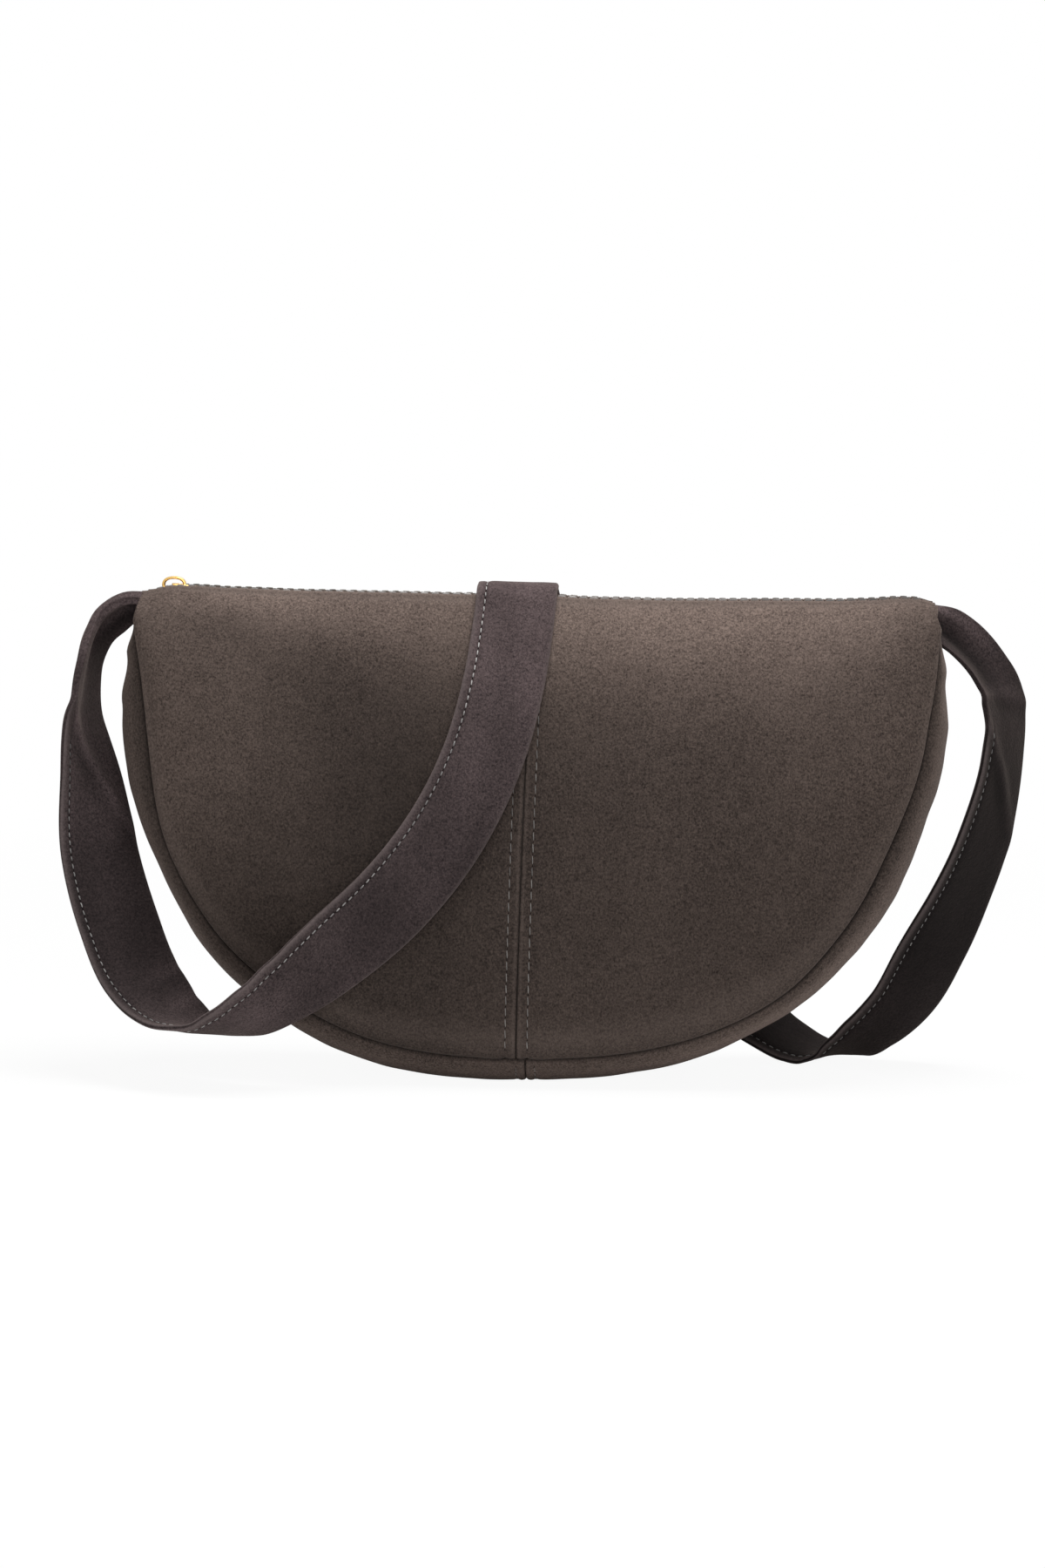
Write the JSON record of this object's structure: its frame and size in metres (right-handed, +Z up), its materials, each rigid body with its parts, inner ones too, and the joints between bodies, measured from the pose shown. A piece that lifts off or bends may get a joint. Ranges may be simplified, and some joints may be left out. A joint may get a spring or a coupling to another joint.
{
  "type": "half-moon shoulder bag",
  "caption": "Half-moon suede shoulder bag with a zip top, a curved gusset, a long flat strap draped over it, and a slider with a pull tab that runs along the zip.",
  "frame": {"origin": "on the flat spot that the bag stands on, under the middle of its zip", "axes": "+X along the zip from the closed end to the open end, +Y from the front to the back, +Z up"},
  "size_m": [0.4078, 0.1399, 0.2107],
  "materials": {
    "body_suede": "dark taupe suede, napped and matt",
    "strap_suede": "dark taupe suede, slightly cooler than the body",
    "lining_cloth": "plain woven lining",
    "tape_cloth": "woven zip tape",
    "gold_metal": "polished gold-coloured metal"
  },
  "bodies": {
    "bag": {"front_panel_left": "body_suede", "front_panel_right": "body_suede", "back_panel_left": "body_suede", "back_panel_right": "body_suede", "gusset_left": "body_suede", "gusset_right": "body_suede", "strap": "strap_suede", "lining_front": "lining_cloth", "lining_back": "lining_cloth", "lining_gusset": "lining_cloth", "inner_slip_pocket": "lining_cloth", "zipper_tape_front": "tape_cloth", "zipper_tape_back": "tape_cloth", "zipper_teeth_front": "gold_metal", "zipper_teeth_back": "gold_metal", "top_stop_front": "gold_metal", "top_stop_back": "gold_metal", "bottom_stop": "gold_metal"},
    "slider": {"slider_body": "gold_metal"},
    "tab": {"pull_tab": "gold_metal"}
  },
  "joints": [
    {"name": "slider_slide", "type": "slide", "parent": "bag", "child": "slider", "axis": [1, 0, 0], "range_m": [0, 0.285], "deforming": ["zipper_teeth_front", "zipper_teeth_back", "strap"]},
    {"name": "tab_hinge", "type": "hinge", "parent": "slider", "child": "tab", "pos_m": [-0.1536, 0, 0.2069], "axis": [0, -1, 0], "range_deg": [0, 180]}
  ]
}
